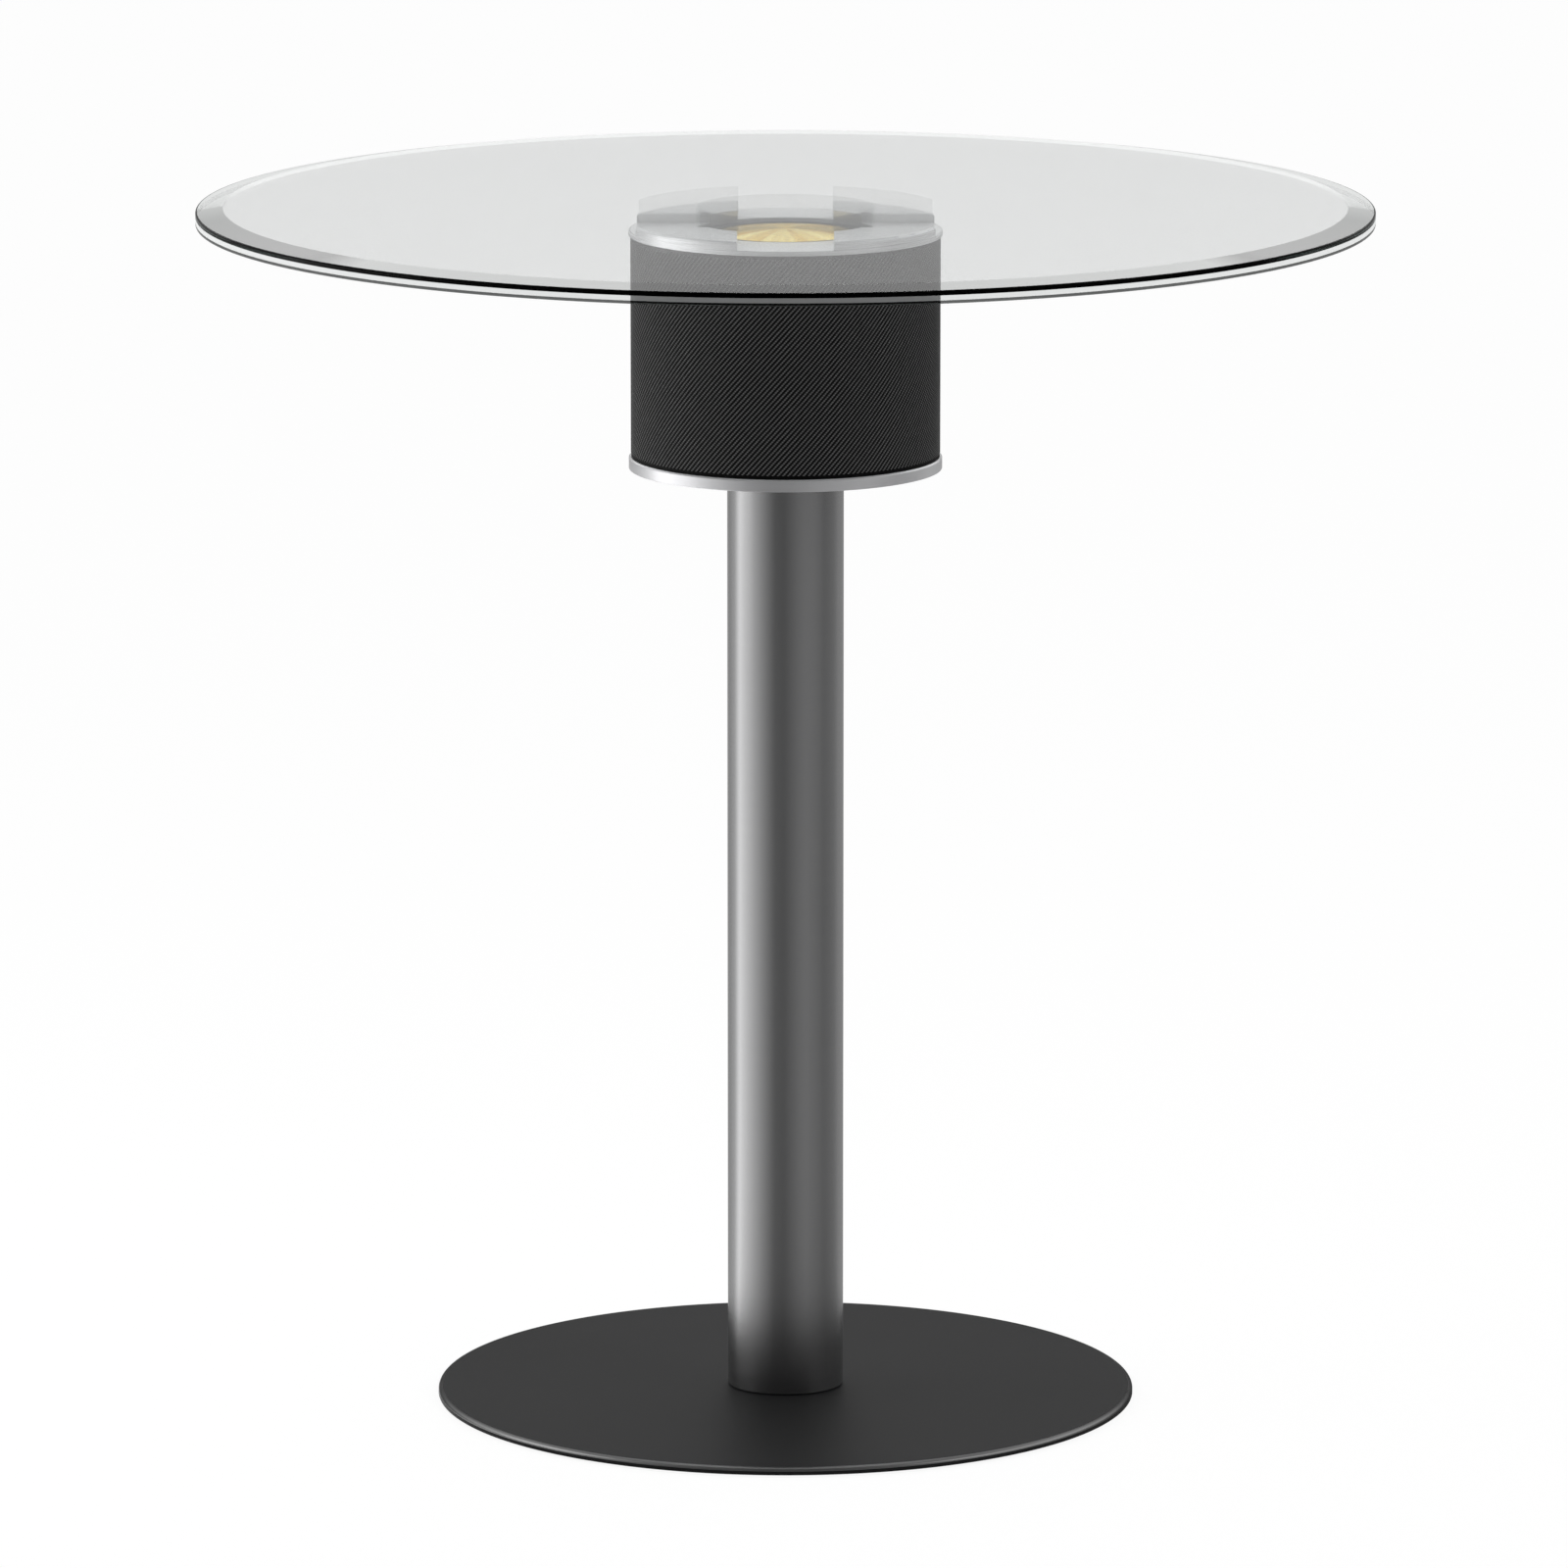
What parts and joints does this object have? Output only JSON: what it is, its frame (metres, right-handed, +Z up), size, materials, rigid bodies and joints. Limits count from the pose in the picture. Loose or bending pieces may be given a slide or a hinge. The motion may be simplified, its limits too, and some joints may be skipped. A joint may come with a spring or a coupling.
{
  "type": "light up led table",
  "caption": "Round bevelled glass side table on a pedestal, with a mesh drum under the top that holds an up-firing speaker and a ring of lights.",
  "frame": {"origin": "on the column's axis, on the floor that the glides stand on", "axes": "+Z up along the column, -Y towards the picture's camera, +Y the side of the button and inlet"},
  "size_m": [0.7, 0.7, 0.7248],
  "materials": {
    "charcoal_coat": "fine satin powder coat",
    "black_rubber": "matt",
    "brushed_tube": "fine brushed, dark satin",
    "zinc_steel": "zinc plated",
    "satin_aluminium": "turned and satin anodised",
    "black_mesh": "fine diagonal weave, matt black",
    "black_moulding": "matt black moulding",
    "clear_acrylic": "polished, clear",
    "clear_glass": "polished, bevelled edge",
    "spun_gold": "circular brushed gold",
    "coil_former": "wound former",
    "spider_cloth": "resin treated cloth",
    "ferrite": "sintered",
    "white_board": "white solder mask",
    "green_board": "green solder mask",
    "cell_wrap": "heat-shrunk wrap"
  },
  "bodies": {
    "root": {"base_plate": "charcoal_coat", "column_tube": "brushed_tube", "foot_spigot": "zinc_steel", "head_plug": "zinc_steel", "tie_rod": "zinc_steel", "rod_washer": "zinc_steel", "rod_nut": "zinc_steel", "lower_ring": "satin_aluminium", "drum_floor": "black_moulding", "mesh_sleeve": "black_mesh", "inner_cage": "black_moulding", "slotted_crown": "satin_aluminium", "light_board": "white_board", "light_guide": "clear_acrylic", "driver_basket": "black_moulding", "driver_surround": "black_rubber", "driver_spider": "spider_cloth", "motor_top_plate": "zinc_steel", "ring_magnet": "ferrite", "motor_yoke": "zinc_steel", "battery_holder": "black_moulding", "control_board": "green_board", "power_switch": "black_moulding", "charging_inlet": "zinc_steel", "glass_top": "clear_glass", "floor_glide_1": "black_rubber", "clear_block_1": "clear_acrylic", "battery_cell_1": "cell_wrap", "floor_screw_1": "zinc_steel", "crown_screw_1": "zinc_steel", "driver_screw_1": "zinc_steel", "floor_glide_2": "black_rubber", "clear_block_2": "clear_acrylic", "battery_cell_2": "cell_wrap", "floor_screw_2": "zinc_steel", "crown_screw_2": "zinc_steel", "driver_screw_2": "zinc_steel", "floor_glide_3": "black_rubber", "clear_block_3": "clear_acrylic", "battery_cell_3": "cell_wrap", "floor_screw_3": "zinc_steel", "crown_screw_3": "zinc_steel", "driver_screw_3": "zinc_steel", "floor_glide_4": "black_rubber", "clear_block_4": "clear_acrylic", "battery_cell_4": "cell_wrap", "floor_screw_4": "zinc_steel", "crown_screw_4": "zinc_steel", "driver_screw_4": "zinc_steel", "base_screw_1": "zinc_steel", "base_screw_2": "zinc_steel", "base_screw_3": "zinc_steel"},
    "moving_coil": {"gold_diaphragm": "spun_gold", "voice_coil": "coil_former"},
    "button": {"power_button": "black_moulding"}
  },
  "joints": [
    {"name": "button_press", "type": "slide", "parent": "root", "child": "button", "axis": [0, 0, 1], "range_m": [0, 0.0015], "stiffness_N_per_m": 600, "springref_m": -0.0015},
    {"name": "diaphragm_travel", "type": "slide", "parent": "root", "child": "moving_coil", "axis": [0, 0, 1], "range_m": [-0.0015, 0.0015], "stiffness_N_per_m": 1500, "deforming": ["driver_surround", "driver_spider"]}
  ]
}
